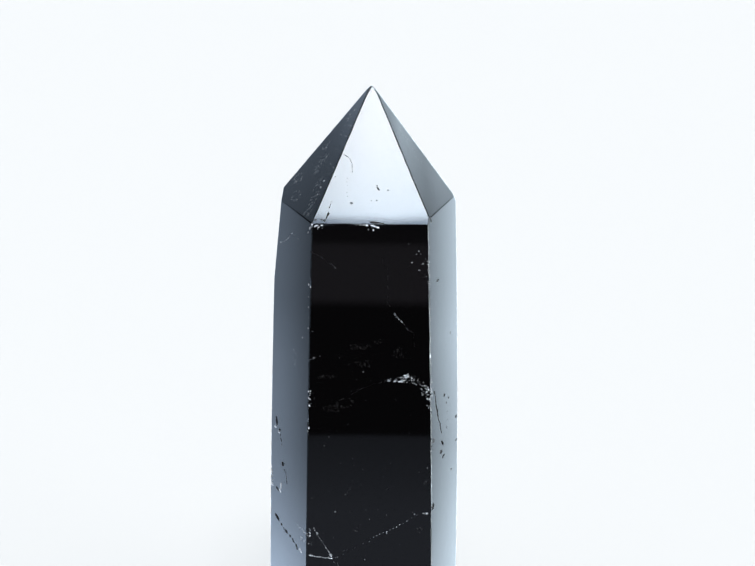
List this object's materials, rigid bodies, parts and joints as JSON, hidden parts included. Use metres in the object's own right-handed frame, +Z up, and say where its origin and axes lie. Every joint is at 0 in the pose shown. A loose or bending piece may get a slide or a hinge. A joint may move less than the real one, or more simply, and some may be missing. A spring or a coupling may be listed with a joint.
{
  "type": "morion quartz point",
  "caption": "Polished hexagonal tower of near-black smoky quartz with a faceted tip, standing upright on its flat sawn foot.",
  "frame": {"origin": "middle of the flat foot that the point stands on", "axes": "+Z up along the point towards its tip, -Y out of the broad front face"},
  "size_m": [0.0302, 0.026, 0.0917],
  "materials": {
    "morion": "polished"
  },
  "bodies": {
    "root": {"quartz_point": "morion"}
  },
  "joints": []
}
